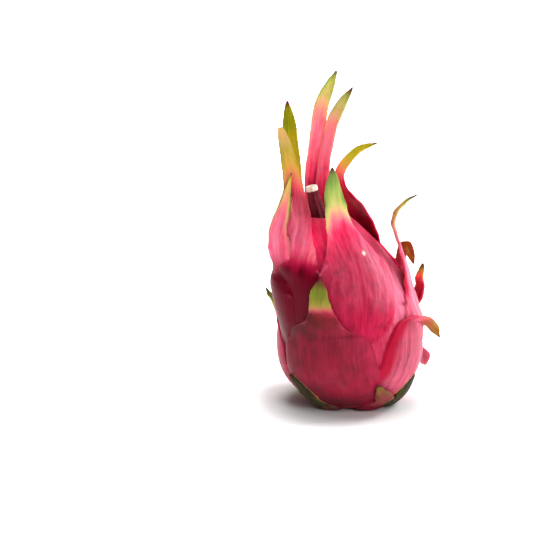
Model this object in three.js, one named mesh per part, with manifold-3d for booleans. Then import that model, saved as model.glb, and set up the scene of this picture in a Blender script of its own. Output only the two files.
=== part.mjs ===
// A whole red-skinned dragon fruit, standing on its stem end. Millimetres, +Z up, its front towards -Y.
// The skin is one solid: a full, slightly leaning body and the leafy scales that grow out of it.
// A cut stub of the withered flower stands in the hollow of the crown, and the stem scar is under the foot.
import * as THREE from "three";
import { mergeVertices } from "three/addons/utils/BufferGeometryUtils.js";
import Module from "manifold-3d";

const wasm = await Module();
wasm.setup();

// Body, without its scales
const bodyRadius = 40;
const beltHeight = 44; // where the body is widest
const riseAboveBelt = 73;
const footSag = 2; // how far its own weight presses the stem end flat
const lowerFullness = 2.6; // 2 is an ellipse, and more is squarer
const upperFullness = 2.0;
const crownLean = 18; // how far the crown sits to the left of the foot
const leanFrom = 46;
const leanTo = 122;
const bodySides = 44;

// Where the foot's middle stands, so that the middle of the whole fruit is over the origin
const footX = -1.45;
const footY = -3.33;

// Hollows of the crown and of the stem end
const navelRadius = 12.5;
const navelFloorRadius = 8;
const navelDepth = 12;
const scarRadius = 6.5;
const scarDepth = 3;
const seatGap = 0.3; // between the skin and the pieces that sit in it

// Flower stub
const stubFoot = 6.2;
const stubRadius = 4;
const stubOffset = -1.5; // from the middle of the crown
const stubTop = 128.5;
const stubLean = 14; // degrees, to the left
const stubSides = 36;
const stubRibs = 9;
const ribDepth = 0.3;
const ribsFrom = 2.8; // no ribs nearer the middle than this

// Stem scar
const woodRadius = 5.9;
const woodBottom = 0.5;
const woodSides = 24;

// Scales
const holdLength = 14; // over which a scale lets go of the skin
const holdShare = 0.4; // and at most this share of its pad
const footClear = 0.3; // how far the scales round the foot are pressed up off the ground
const usualShoulder = 0.7; // how far up its pad a scale starts to narrow
const leastGirth = 10; // the smallest radius that a pad wraps round
const leastCup = 14; // the tightest radius that a blade is cupped to
const pathSteps = 24;
const twistFrom = 0.35;
const twistTo = 0.7;

// A scale runs from its base, 0, past the place where it leaves the skin, 1, to its tip, 2.
// How far the pad stands out beside the neck, as a share
const flare = [[0, 0.42], [0.2, 0.84], [0.42, 1], [0.7, 0.94], [0.87, 0.64],
  [1, 0.3], [1.12, 0.1], [1.3, 0], [2, 0]];
// The half width of the rest, as a share of the neck's
const blade = [[0, 1], [1.3, 1], [1.6, 0.93], [1.8, 0.68], [1.93, 0.36], [2, 0.1]];
const broad = [[0, 1], [1.4, 1], [1.65, 0.98], [1.82, 0.84], [1.93, 0.5], [2, 0.12]];
const pointed = [[0, 1], [1.2, 1], [1.5, 0.86], [1.75, 0.56], [1.9, 0.28], [2, 0.08]];
const blunt = [[0, 1], [1.3, 1], [1.6, 0.86], [1.85, 0.6], [1.95, 0.42], [2, 0.24]];
const waisted = [[0, 1], [1, 1], [1.16, 0.94], [1.36, 0.7], [1.5, 0.38], [1.7, 0.34],
  [1.86, 0.27], [2, 0.06]];
// How far its two faces lie off the skin, in millimetres, along its middle and along its margins
const outerMiddle = [[0, -0.9], [0.2, 0.9], [0.5, 2.8], [0.8, 3.5], [0.92, 3.2],
  [1, 2.5], [1.25, 1.4], [1.6, 1], [2, 0.5]];
const outerEdge = [[0, -1.5], [0.25, -0.4], [0.5, 0.9], [0.72, 1.8], [0.9, 2.1],
  [1, 1.8], [1.3, 0.8], [1.6, 0.5], [2, 0.4]];
const innerMiddle = [[0, -3], [0.6, -2.6], [0.85, -1.2], [1, -0.5], [1.25, -0.6], [1.6, -0.5], [2, -0.4]];
const innerEdge = [[0, -3], [0.4, -2.6], [0.6, -1.4], [0.75, -0.1], [0.9, 0.4],
  [1, 0.5], [1.3, -0.2], [1.6, -0.3], [2, -0.4]];

// azimuth: degrees, 0 at the front and growing to the right; from and to: the latitudes of a scale's base
// and of where it leaves the skin; swing: how far it drifts sideways between them; pad and neck: its half
// widths; shoulder: where the pad starts to narrow; spread: how far up that reaches, if it isn't 1;
// shape: the half width of its free part, if it isn't blade's; bulge: how much prouder than usual it stands;
// twist: degrees, about itself, between twistFrom and twistTo;
// via: the points that its free part passes, from the foot's middle, and the last one is its tip.
// A scale with no via springs from the skin by its length, its first lift and the curl added towards its tip.
const scales = [
  // crown: tall and narrow
  { azimuth: 196, from: 60, to: 72, pad: 8, neck: 4.6, shape: broad,
    via: [[-22, 15, 128], [-20, 16.5, 150], [-16.5, 17, 174], [-8.4, 17, 192.5]] },
  { azimuth: 164, from: 60, to: 72, pad: 8, neck: 3.9, shape: broad,
    via: [[-16.3, 12, 124], [-14.2, 13, 146], [-8.9, 14, 167], [1, 14, 183.5]] },
  { azimuth: 232, from: 20, to: 46, pad: 13, neck: 4.8, shape: broad, spread: 1.2,
    twist: 42, twistFrom: 0.1, twistTo: 0.6,
    via: [[-33, 14, 122], [-34.6, 18, 150], [-36.7, 22, 174.5]] },
  { azimuth: 130, from: 8, to: 42, pad: 20, neck: 8.8, shape: waisted, shoulder: 0.85, spread: 1.22,
    twist: -46,
    via: [[5.6, 17, 110], [-2, 16, 120], [-6.4, 14, 132], [-1, 12, 142.5], [6, 11, 148.5], [16.3, 10, 152]] },
  { azimuth: -47, from: -8, to: 40, pad: 19, neck: 6.4, shape: blunt, shoulder: 0.84, spread: 1.2,
    twist: -38, twistFrom: 0.05, twistTo: 0.5,
    via: [[-31.2, -19, 112], [-32.8, -20, 126], [-35.8, -20, 145], [-40.8, -21, 165.5]] },
  { azimuth: -66, from: -8, to: 30, pad: 14, neck: 3.8, bulge: 1.9, spread: 1.3,
    twist: -38, twistFrom: 0, twistTo: 0.4,
    via: [[-41.6, -17, 94], [-42.2, -18, 105], [-40, -19, 115], [-37.6, -20, 124], [-34.4, -24, 141]] },
  { azimuth: 10, swing: 20, from: -4, to: 38, pad: 22.6, neck: 7.4, bulge: 1.25, shoulder: 0.86, spread: 1.22,
    via: [[-6.6, -26.5, 108], [-10.4, -27.5, 125], [-12, -26, 143.5]] },
  // right flank
  { azimuth: 80, from: -30, to: 10, pad: 23, neck: 5, shoulder: 0.85, spread: 1.25,
    twist: -15, twistFrom: 0.3, twistTo: 0.6,
    via: [[35, -5, 69], [32.6, -5, 79.5], [28.6, -4, 93], [24.4, -5, 105.5], [26, -5, 115], [31.5, -5, 121],
      [38.3, -5, 124.5]] },
  { azimuth: 100, from: -6, to: 26, pad: 14, neck: 3.6, twist: -72, twistFrom: 0, twistTo: 0.5,
    via: [[31.5, 12, 88.5], [33, 12, 91], [35.6, 11.5, 87], [38, 11, 79.5]] },
  { azimuth: 112, from: -34, to: 6, pad: 16, neck: 6,
    via: [[41.4, 14, 62], [42.4, 14, 71], [43.8, 15, 79.5]] },
  { azimuth: 56, swing: 18, from: -56, to: 7, pad: 25, neck: 6.8, shoulder: 0.8, bulge: 1.3, shape: pointed,
    via: [[41, -16, 53.5], [46.8, -14, 48.5], [52, -12, 41.5]] },
  { azimuth: 97, from: -60, to: -12, pad: 13, neck: 5.5, shape: blunt, twist: 50,
    via: [[42, 5, 33], [44.8, 5, 27], [44.5, 5, 19.5]] },
  // front, low and broad
  { azimuth: -17, swing: -14, from: -64, to: 3, pad: 29.6, neck: 6.2, shoulder: 0.8, spread: 1.22, bulge: 1.2,
    via: [[-17.4, -39, 58], [-19.2, -38.5, 70], [-18.9, -37, 81.7]] },
  // round the stem end
  { azimuth: 62, from: -84, to: -66, pad: 13, neck: 10,
    via: [[25.5, -14, 2.5], [31, -16.6, 8], [34.6, -18.4, 15], [37, -19.5, 21.5]] },
  { azimuth: 34, from: -78, to: -54, pad: 11, neck: 6.5, shape: pointed,
    via: [[19, -30.5, 9.5], [17, -36, 14.5], [14.6, -39.5, 21]] },
  { azimuth: -42, from: -78, to: -54, pad: 11, neck: 6.5,
    via: [[-25, -25, 11], [-30, -24, 16.5], [-35.3, -22, 22]] },
  { azimuth: 122, from: -78, to: -54, pad: 11, neck: 7, length: 17, lift: 4, curl: -20 },
  { azimuth: 188, from: -78, to: -54, pad: 12, neck: 7, length: 19, lift: 4, curl: -20 },
  { azimuth: 248, from: -78, to: -54, pad: 11, neck: 7, length: 16, lift: 4, curl: -20 },
  // back and left
  { azimuth: 152, from: -62, to: 2, pad: 24, neck: 6.5, length: 28, lift: 18, curl: 34 },
  { azimuth: 208, from: -58, to: 8, pad: 24, neck: 6.5, length: 31, lift: 14, curl: 26 },
  { azimuth: 264, from: -62, to: 0, pad: 23, neck: 6.2, length: 25, lift: 10, curl: 24 },
  { azimuth: 180, from: -6, to: 44, pad: 18, neck: 6, length: 36, lift: 18, curl: 34 },
  { azimuth: 240, from: -12, to: 36, pad: 18, neck: 5.8, length: 23, lift: 8, curl: 14 },
];

const degree = Math.PI / 180;
const mix = THREE.MathUtils.lerp;
const smooth = THREE.MathUtils.smoothstep;

// A smooth curve through [place, value] stations, read at one place.
function through(stations, at) {
  const last = stations.length - 1;
  if (at <= stations[0][0]) return stations[0][1];
  if (at >= stations[last][0]) return stations[last][1];
  let i = 0;
  while (at > stations[i + 1][0]) i += 1;
  const slope = (k) => {
    const [x0, y0] = stations[Math.max(k - 1, 0)];
    const [x1, y1] = stations[Math.min(k + 1, last)];
    return (y1 - y0) / (x1 - x0);
  };
  const [start, low] = stations[i];
  const [end, high] = stations[i + 1];
  const step = end - start;
  const t = (at - start) / step;
  const rise = t * t * (3 - 2 * t);
  const leave = t * (1 - t) ** 2 * step * slope(i);
  const arrive = t * t * (t - 1) * step * slope(i + 1);
  return mix(low, high, rise) + leave + arrive;
}

// The body's outline at a latitude in degrees, from -90 under the foot to 90 in the crown.
function outline(latitude) {
  const angle = latitude * degree;
  const fullness = latitude < 0 ? lowerFullness : upperFullness;
  const rise = latitude < 0 ? -(beltHeight + footSag) : riseAboveBelt;
  const radius = bodyRadius * Math.max(Math.cos(angle), 0) ** (2 / fullness);
  const height = beltHeight + rise * Math.abs(Math.sin(angle)) ** (2 / fullness);
  const hollow = latitude < 0 ? 0 : navelDepth * (1 - smooth(radius, navelFloorRadius, navelRadius));
  return [radius, height - hollow];
}

function leanAt(height) {
  return -crownLean * smooth(height, leanFrom, leanTo);
}

// A point of the skin at an azimuth and latitude, lifted off it by some millimetres.
function skinPoint(azimuth, latitude, lift) {
  const [radius, height] = outline(latitude);
  const [radiusUp, heightUp] = outline(latitude + 0.5);
  const [radiusDown, heightDown] = outline(latitude - 0.5);
  const along = new THREE.Vector2(radiusUp - radiusDown, heightUp - heightDown).normalize();
  const reach = radius + lift * along.y;
  const x = leanAt(height) + reach * Math.sin(azimuth * degree);
  return new THREE.Vector3(x, -reach * Math.cos(azimuth * degree), height - lift * along.x);
}

function azimuthAlong(scale, u) {
  return scale.azimuth + (scale.swing ?? 0) * (u - 0.5);
}

// The length over which a scale lets go of the skin, ending where it leaves it.
function holdOf(scale) {
  return Math.min(holdLength, holdShare * padLength(scale));
}

function padLength(scale) {
  const steps = 12;
  const latitudeAt = (k) => mix(scale.from, scale.to, k / steps);
  const places = Array.from({ length: steps + 1 }, (_, k) => skinPoint(0, latitudeAt(k), 0));
  return places.slice(1).reduce((sum, place, k) => sum + place.distanceTo(places[k]), 0);
}

// Where a scale leaves the skin, and the directions along it, out of it and across it there.
function leavePlace(scale) {
  const justBefore = 0.97;
  const azimuth = azimuthAlong(scale, 1);
  const place = skinPoint(azimuth, scale.to, 0);
  const before = skinPoint(azimuthAlong(scale, justBefore), mix(scale.from, scale.to, justBefore), 0);
  const forward = place.clone().sub(before).normalize();
  const outward = skinPoint(azimuth, scale.to, 1).sub(place);
  outward.addScaledVector(forward, -outward.dot(forward)).normalize();
  return { place, forward, outward, sideways: forward.clone().cross(outward) };
}

// The points that a scale passes once it has left the skin, springing from it by its lift and curl.
function springing(scale, { place, forward, outward }) {
  const steps = 4;
  const at = place.clone();
  return Array.from({ length: steps }, (_, k) => {
    const pitch = (scale.lift + scale.curl * ((k + 0.5) / steps)) * degree;
    at.addScaledVector(forward, (Math.cos(pitch) * scale.length) / steps);
    at.addScaledVector(outward, (Math.sin(pitch) * scale.length) / steps);
    return at.clone();
  });
}

// The line of a scale's middle from there on, and the three directions that go with it.
function freePath(scale) {
  const nearby = 0.1;
  const leave = leavePlace(scale);
  const hold = holdOf(scale);
  const via = scale.via ? scale.via.map((point) => new THREE.Vector3(...point)) : springing(scale, leave);
  const guide = [leave.place.clone().addScaledVector(leave.forward, -hold), leave.place, ...via];
  const reached = [-hold];
  for (let k = 1; k < guide.length; k += 1) reached.push(reached[k - 1] + guide[k].distanceTo(guide[k - 1]));
  const length = reached[guide.length - 1];
  const stations = ["x", "y", "z"].map((axis) => guide.map((point, k) => [reached[k], point[axis]]));
  const placeAt = (distance) => new THREE.Vector3(...stations.map((axis) => through(axis, distance)));
  const sideways = leave.sideways.clone();
  return Array.from({ length: pathSteps + 1 }, (_, k) => {
    const share = k / pathSteps;
    const distance = share * length;
    const heading = placeAt(distance + nearby).sub(placeAt(distance - nearby)).normalize();
    sideways.addScaledVector(heading, -sideways.dot(heading)).normalize();
    const turned = smooth(share, scale.twistFrom ?? twistFrom, scale.twistTo ?? twistTo);
    const roll = (scale.twist ?? 0) * turned * degree;
    const side = sideways.clone().applyAxisAngle(heading, -roll);
    return { place: placeAt(distance), heading, side, face: side.clone().cross(heading) };
  });
}

function halfWidth(scale, u) {
  const shoulder = scale.shoulder ?? usualShoulder;
  const spread = scale.spread ?? 1;
  const below = (u * usualShoulder) / shoulder;
  const above = usualShoulder + ((u - shoulder) * (1 - usualShoulder)) / (spread - shoulder);
  const flared = through(flare, u < shoulder ? below : above);
  return scale.neck * through(scale.shape ?? blade, u) + (scale.pad - scale.neck) * flared;
}

// A point of a scale: u along it, v across it from -1 to 1, on its outer or its inner face.
function scalePoint(scale, path, u, v, outer) {
  const proud = outer ? mix(scale.bulge ?? 1, 1, smooth(u, 0.9, 1.2)) : 1;
  const middle = through(outer ? outerMiddle : innerMiddle, u);
  const edge = through(outer ? outerEdge : innerEdge, u);
  const lift = mix(edge, middle, (1 - v * v) ** 0.8) * proud;
  const across = v * halfWidth(scale, u);

  const held = Math.min(u, 1);
  const latitude = mix(scale.from, scale.to, held);
  const turn = across / Math.max(outline(latitude)[0], leastGirth) / degree;
  const hugging = skinPoint(azimuthAlong(scale, held) + turn, latitude, lift);

  const reached = (Math.max(u, 1) - 1) * pathSteps;
  const k = Math.min(Math.floor(reached), pathSteps - 1);
  const [here, next] = [path[k], path[k + 1]];
  const between = (key) => here[key].clone().lerp(next[key], reached - k);
  const cup = (across * across) / (2 * Math.max(outline(scale.to)[0], leastCup));
  const free = between("place").addScaledVector(here.heading, (held - 1) * padLength(scale));
  free.addScaledVector(between("side"), across).addScaledVector(between("face"), lift - cup);

  const point = hugging.lerp(free, smooth(u, 1 - holdOf(scale) / padLength(scale), 1));
  point.z = Math.max(point.z, footClear);
  return point;
}

function solidOf(points, triangles) {
  const vertProperties = new Float32Array(points.flatMap((point) => point.toArray()));
  const triVerts = new Uint32Array(triangles);
  return new wasm.Manifold(new wasm.Mesh({ numProp: 3, vertProperties, triVerts }));
}

// A scale as a closed solid: its two faces, both split into triangles alike, and the rim between them.
function scaleSolid(scale) {
  const across = 6;
  const along = scale.via ? 14 : 10;
  const path = freePath(scale);
  const grid = new THREE.PlaneGeometry(2, 2, across, along);
  const { position } = grid.attributes;
  const { count } = position;
  const outer = Array.from(grid.index.array);
  const inner = outer.map((_, i) => outer[[i, i + 1, i - 1][i % 3]] + count);
  const face = (isOuter) => pointsOf(position).map((p) => scalePoint(scale, path, 1 + p.y, p.x, isOuter));

  const row = across + 1;
  const rim = [];
  for (let i = 0; i < across; i += 1) rim.push(i);
  for (let j = 0; j < along; j += 1) rim.push(j * row + across);
  for (let i = across; i > 0; i -= 1) rim.push(along * row + i);
  for (let j = along; j > 0; j -= 1) rim.push(j * row);
  const wall = rim.flatMap((a, i) => {
    const b = rim[(i + 1) % rim.length];
    return [a, b, b + count, a, b + count, a + count];
  });
  return solidOf([...face(true), ...face(false)], [...outer, ...inner, ...wall]);
}

function pointsOf(position) {
  const pointAt = (i) => new THREE.Vector3().fromBufferAttribute(position, i);
  return Array.from({ length: position.count }, (_, i) => pointAt(i));
}

// A closed three.js geometry as a solid, with its shared corners merged.
function solidFrom(geometry) {
  const bare = geometry.clone();
  bare.deleteAttribute("normal");
  bare.deleteAttribute("uv");
  const merged = mergeVertices(bare, 1e-4);
  const index = merged.index.array;
  const triangles = [];
  for (let i = 0; i < index.length; i += 3) {
    const corners = index.slice(i, i + 3);
    if (new Set(corners).size === 3) triangles.push(...corners);
  }
  const { position } = merged.attributes;
  return solidOf(pointsOf(position), triangles);
}

function geometryOf(solid) {
  const { numVert, numProp, vertProperties, triVerts } = solid.getMesh();
  const points = [];
  for (let i = 0; i < numVert; i += 1) points.push(...vertProperties.subarray(i * numProp, i * numProp + 3));
  const geometry = new THREE.BufferGeometry();
  geometry.setAttribute("position", new THREE.Float32BufferAttribute(points, 3));
  geometry.setIndex(Array.from(triVerts));
  geometry.computeVertexNormals();
  return geometry;
}

function turned(profile, sides) {
  const points = profile.map(([radius, height]) => new THREE.Vector2(radius, height));
  return new THREE.LatheGeometry(points, sides).rotateX(Math.PI / 2);
}

// The body: its outline turned about the upright axis, leaned, and pressed flat where it rests.
function bodySolid() {
  const latitudes = [-90, -84];
  for (let latitude = -80; latitude < 62; latitude += 5.5) latitudes.push(latitude);
  for (let latitude = 64; latitude < 90; latitude += 2.6) latitudes.push(latitude);
  latitudes.push(90);
  const geometry = turned(latitudes.map(outline), bodySides);
  const { position } = geometry.attributes;
  for (let i = 0; i < position.count; i += 1) {
    const height = position.getZ(i);
    position.setX(i, position.getX(i) + leanAt(height));
    position.setZ(i, Math.max(height, 0));
  }
  return solidFrom(geometry);
}

function fruitSolid() {
  const seatProfile = [[0, -scarDepth], [scarRadius, -scarDepth], [scarRadius, scarDepth], [0, scarDepth]];
  const seat = turned(seatProfile, woodSides);
  const body = bodySolid().subtract(solidFrom(seat));
  const fused = scales.reduce((solid, scale) => solid.add(scaleSolid(scale)), body);
  // Pockets that two scales close between them are filled: only the outermost surface is kept.
  const shells = fused.decompose().sort((a, b) => b.volume() - a.volume());
  return shells[0];
}

// A ribbed column, cut across at right angles to its lean, with a shallow dish in the cut.
function stubSolid() {
  const bottom = beltHeight + riseAboveBelt - navelDepth + seatGap;
  const height = stubTop - bottom;
  const profile = [[0, 0], [stubFoot - 0.8, 0], [stubFoot, 0.04], [stubFoot - 0.5, 0.25], [stubRadius, 0.6],
    [stubRadius, 0.95], [stubRadius - 0.4, 1], [stubRadius - 1.6, 1], [stubRadius - 2.4, 0.97], [0, 0.96]];
  const geometry = turned(profile.map(([radius, share]) => [radius, share * height]), stubSides);
  const { position } = geometry.attributes;
  const points = pointsOf(position);
  const slope = Math.tan(stubLean * degree);
  for (let i = 0; i < position.count; i += 1) {
    const [x, y, z] = points[i];
    const ribs = Math.cos(stubRibs * Math.atan2(y, x)) * smooth(Math.hypot(x, y), ribsFrom, stubRadius);
    const swell = 1 + (ribDepth / stubRadius) * ribs;
    const middle = leanAt(bottom) + stubOffset - slope * z;
    position.setXYZ(i, middle + x * swell, y * swell, bottom + z + (x * slope * z) / height);
  }
  return solidFrom(geometry);
}

// A low woody plug with a rounded rim.
function scarSolid() {
  const top = scarDepth - seatGap;
  const profile = [[0, woodBottom], [woodRadius - 1.4, woodBottom], [woodRadius - 0.5, woodBottom + 0.5],
    [woodRadius, woodBottom + 1], [woodRadius, top], [0, top]];
  return solidFrom(turned(profile, woodSides));
}

const skin = new THREE.MeshStandardMaterial({ color: 0xd42a5b, roughness: 0.45, metalness: 0 });
const driedFlower = new THREE.MeshStandardMaterial({ color: 0x5a2430, roughness: 0.9, metalness: 0 });
const wood = new THREE.MeshStandardMaterial({ color: 0x8a7650, roughness: 0.9, metalness: 0 });

function named(name, solid, material) {
  const mesh = new THREE.Mesh(geometryOf(solid), material);
  mesh.name = name;
  return mesh;
}

const group = new THREE.Group();
group.position.set(footX, footY, 0);
group.add(named("fruit", fruitSolid(), skin));
group.add(named("flower_stub", stubSolid(), driedFlower));
group.add(named("stem_scar", scarSolid(), wood));

export default group;
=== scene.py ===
from math import atan2, cos, degrees, floor, hypot, pi, radians, sin, tan

import bmesh
import bpy
import numpy as np
from mathutils import Matrix, Vector, noise
from mathutils.bvhtree import BVHTree
from mathutils.interpolate import poly_3d_calc


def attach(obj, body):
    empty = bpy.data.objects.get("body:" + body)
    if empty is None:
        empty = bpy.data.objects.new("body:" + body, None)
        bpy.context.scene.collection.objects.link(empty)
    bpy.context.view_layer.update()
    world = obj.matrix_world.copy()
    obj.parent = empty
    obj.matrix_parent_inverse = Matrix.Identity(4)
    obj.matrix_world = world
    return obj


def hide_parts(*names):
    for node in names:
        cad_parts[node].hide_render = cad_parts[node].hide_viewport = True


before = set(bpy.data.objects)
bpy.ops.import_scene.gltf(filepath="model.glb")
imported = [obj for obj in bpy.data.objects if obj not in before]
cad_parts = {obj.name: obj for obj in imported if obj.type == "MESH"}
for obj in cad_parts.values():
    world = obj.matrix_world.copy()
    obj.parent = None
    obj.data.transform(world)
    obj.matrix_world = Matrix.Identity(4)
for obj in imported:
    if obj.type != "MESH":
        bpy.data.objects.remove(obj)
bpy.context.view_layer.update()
mm = 0.001

# Camera: a long lens from a little above, at the photograph's angle
camera = {
    "lens": 100.0,
    "sensor": 36.0,
    "elevation": 14.0,  # degrees above level
    "distance": 0.897,
    "aim": Vector((-0.04405, -0.00333, 0.0745)),
    "pixels": 554,
}


def cameraPlace():
    angle = radians(camera["elevation"])
    return camera["aim"] + Vector((0, -cos(angle), sin(angle))) * camera["distance"]


def pixelRay(pixel):
    angle = radians(camera["elevation"])
    half = camera["pixels"] / 2
    reach = camera["sensor"] / camera["lens"] / camera["pixels"]
    forward = Vector((0, cos(angle), -sin(angle)))
    upward = Vector((0, sin(angle), cos(angle)))
    across = (pixel[0] - half) * reach
    return (forward + Vector((1, 0, 0)) * across + upward * (half - pixel[1]) * reach).normalized()


def addCamera():
    data = bpy.data.cameras.new("camera")
    data.lens = camera["lens"]
    data.sensor_width = camera["sensor"]
    data.clip_start = 0.01
    data.clip_end = 50
    made = newObject("camera", data)
    made.location = cameraPlace()
    made.rotation_euler = (radians(90 - camera["elevation"]), 0, 0)
    bpy.context.scene.camera = made


# Small helpers
def newObject(name, data):
    made = bpy.data.objects.new(name, data)
    bpy.context.scene.collection.objects.link(made)
    return made


def mix(a, b, share):
    return a + (b - a) * share


def smooth(value, low, high):
    t = min(max((value - low) / (high - low), 0), 1)
    return t * t * (3 - 2 * t)


def through(stations, at):  # a smooth curve through (place, value) stations
    last = len(stations) - 1
    if at <= stations[0][0]:
        return stations[0][1]
    if at >= stations[last][0]:
        return stations[last][1]
    i = 0
    while at > stations[i + 1][0]:
        i += 1

    def slope(k):
        low, high = stations[max(k - 1, 0)], stations[min(k + 1, last)]
        return (high[1] - low[1]) / (high[0] - low[0])

    step = stations[i + 1][0] - stations[i][0]
    t = (at - stations[i][0]) / step
    rise = t * t * (3 - 2 * t)
    leave = t * (1 - t) ** 2 * step * slope(i)
    arrive = t * t * (t - 1) * step * slope(i + 1)
    return mix(stations[i][1], stations[i + 1][1], rise) + leave + arrive


# Body, in millimetres from the middle of its foot
body = {
    "radius": 40,
    "beltHeight": 44,  # where it is widest
    "riseAboveBelt": 73,
    "footSag": 2,  # its own weight presses it this flat
    "lowerFullness": 2.6,  # 2 is an ellipse, more is squarer
    "upperFullness": 2.0,
    "crownLean": 18,
    "leanFrom": 46,
    "leanTo": 122,
    "navelRadius": 12.5,
    "navelFloorRadius": 8,
    "navelDepth": 12,
    "scarRadius": 6.5,
    "scarDepth": 3,
    "footX": -1.45,
    "footY": -3.33,
    "segments": 200,
    "rings": 150,
}


def outline(latitude):  # radius and height at a latitude from -90, under the foot, to 90
    angle = radians(latitude)
    fullness = body["lowerFullness"] if latitude < 0 else body["upperFullness"]
    rise = -(body["beltHeight"] + body["footSag"]) if latitude < 0 else body["riseAboveBelt"]
    radius = body["radius"] * max(cos(angle), 0) ** (2 / fullness)
    height = body["beltHeight"] + rise * abs(sin(angle)) ** (2 / fullness)
    if latitude >= 0:
        height -= body["navelDepth"] * (1 - smooth(radius, body["navelFloorRadius"], body["navelRadius"]))
    return radius, height


def leanAt(height):
    return -body["crownLean"] * smooth(height, body["leanFrom"], body["leanTo"])


def skinPoint(azimuth, latitude, lift):  # lifted off the skin by some millimetres
    radius, height = outline(latitude)
    radiusUp, heightUp = outline(latitude + 0.5)
    radiusDown, heightDown = outline(latitude - 0.5)
    along = Vector((radiusUp - radiusDown, heightUp - heightDown)).normalized()
    reach = radius + lift * along.y
    turn = radians(azimuth)
    return Vector((leanAt(height) + reach * sin(turn), -reach * cos(turn), height - lift * along.x))


# Scales. u runs from a scale's base, 0, past where it leaves the skin, 1, to its tip, 2.
# How far a pad stands out beside its neck, as a share, then the half widths of the free part, as shares
# of the neck's
flare = [(0, 0.42), (0.2, 0.84), (0.42, 1), (0.7, 0.94), (0.87, 0.64), (1, 0.3), (1.12, 0.1), (1.3, 0),
         (2, 0)]
blade = [(0, 1), (1.3, 1), (1.6, 0.93), (1.8, 0.68), (1.93, 0.36), (2, 0.1)]
broad = [(0, 1), (1.4, 1), (1.65, 0.98), (1.82, 0.84), (1.93, 0.5), (2, 0.12)]
pointed = [(0, 1), (1.2, 1), (1.5, 0.86), (1.75, 0.56), (1.9, 0.28), (2, 0.08)]
blunt = [(0, 1), (1.3, 1), (1.6, 0.86), (1.85, 0.6), (1.95, 0.42), (2, 0.24)]
waisted = [(0, 1), (1, 1), (1.16, 0.94), (1.36, 0.7), (1.5, 0.38), (1.7, 0.34), (1.86, 0.27), (2, 0.06)]
# How far its two faces lie off the skin, along its middle and along its margins
outerMiddle = [(0, -0.9), (0.2, 0.9), (0.5, 2.8), (0.8, 3.5), (0.92, 3.2), (1, 2.5), (1.25, 1.4), (1.6, 1),
               (2, 0.5)]
outerEdge = [(0, -1.5), (0.25, -0.4), (0.5, 0.9), (0.72, 1.8), (0.9, 2.1), (1, 1.8), (1.3, 0.8), (1.6, 0.5),
             (2, 0.4)]
innerMiddle = [(0, -3), (0.6, -2.6), (0.85, -1.2), (1, -0.5), (1.25, -0.6), (1.6, -0.5), (2, -0.4)]
innerEdge = [(0, -3), (0.4, -2.6), (0.6, -1.4), (0.75, -0.1), (0.9, 0.4), (1, 0.5), (1.3, -0.2), (1.6, -0.3),
             (2, -0.4)]

# How ripe green a scale is along u: 0 crimson, 0.3 salmon, 0.5 straw yellow, 0.7 yellow-green, 0.8 green,
# 1 dry maroon
usualStages = [(1, 0.1), (1.35, 0.28), (1.55, 0.5), (1.75, 0.68), (1.93, 0.85), (2, 1)]
basalStages = [(0.6, 0.1), (1, 0.5), (1.3, 0.78), (1.8, 0.84), (2, 1)]

scaleLayout = {
    "holdLength": 14,  # over which a scale lets go of the skin
    "holdShare": 0.4,  # and at most this share of its pad
    "footClear": 0.3,
    "leastGirth": 10,  # the smallest radius that a pad wraps round
    "leastCup": 14,  # the tightest radius that a blade is cupped to
    "pathSteps": 24,
    "across": 22,
    "along": 84,
    "waveLength": 19,  # of the ripple along a margin
    "waveHeight": 0.55,
    "shortWave": 0.6,  # the height of the shorter ripple in it, as a share
    "keelDepth": 0.35,  # of the groove along the middle of a blade
    "keelReach": 0.3,  # how far it reaches sideways, as a share of the half width
    "keelInside": 0.3,  # the share of it that raises the inner face
    "roundness": 0.8,  # how full a scale is between its middle and its margins
    "seedStep": 7.3,  # sets the grain of each scale apart
}

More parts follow.
